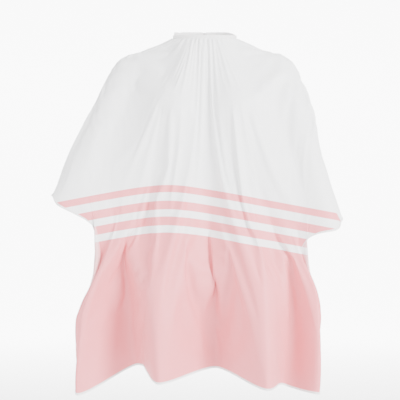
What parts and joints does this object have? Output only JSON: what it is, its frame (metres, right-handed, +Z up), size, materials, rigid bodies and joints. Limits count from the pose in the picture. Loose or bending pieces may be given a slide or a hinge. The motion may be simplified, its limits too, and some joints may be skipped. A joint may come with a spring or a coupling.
{
  "type": "barber cape",
  "caption": "Barber cape, white over pink with three pink stripes, draped as worn: bound neck, gathered yoke, open back slit and a two-by-four snap closure",
  "frame": {"origin": "centre of the neck opening, level with the middle of the neckline", "axes": "+Z up, the front of the cape faces -Y, +X to the right of someone looking at the front"},
  "size_m": [0.6333, 0.368, 0.7998],
  "materials": {
    "sheet_polyester": "smooth printed polyester with a soft sheen, white above, three pink stripes and a pink block below",
    "binding_cloth": "white folded hem binding with lockstitch",
    "band_cloth": "white woven neck binding and tabs",
    "snap_metal": "nickel-plated brass snap fasteners"
  },
  "bodies": {
    "root": {"cape_sheet": "sheet_polyester", "front_hem": "binding_cloth", "left_side_hem": "binding_cloth", "right_side_hem": "binding_cloth", "left_back_hem": "binding_cloth", "right_back_hem": "binding_cloth", "left_slit_facing": "binding_cloth", "right_slit_facing": "binding_cloth", "neck_band": "band_cloth", "under_tab": "band_cloth", "over_tab_sewn_end": "band_cloth", "snap_post_1": "snap_metal", "snap_post_2": "snap_metal", "snap_post_3": "snap_metal", "snap_post_4": "snap_metal", "snap_stud_1": "snap_metal", "snap_stud_2": "snap_metal", "snap_stud_3": "snap_metal", "snap_stud_4": "snap_metal"},
    "over_tab": {"over_tab": "band_cloth", "snap_socket_1": "snap_metal", "snap_socket_2": "snap_metal", "snap_cap_1": "snap_metal", "snap_cap_2": "snap_metal"}
  },
  "joints": [
    {"name": "tab_fold", "type": "hinge", "parent": "root", "child": "over_tab", "pos_m": [-0.06374, 0.03249, 0.0188], "axis": [0, 0, 1], "range_deg": [0, 75]}
  ]
}
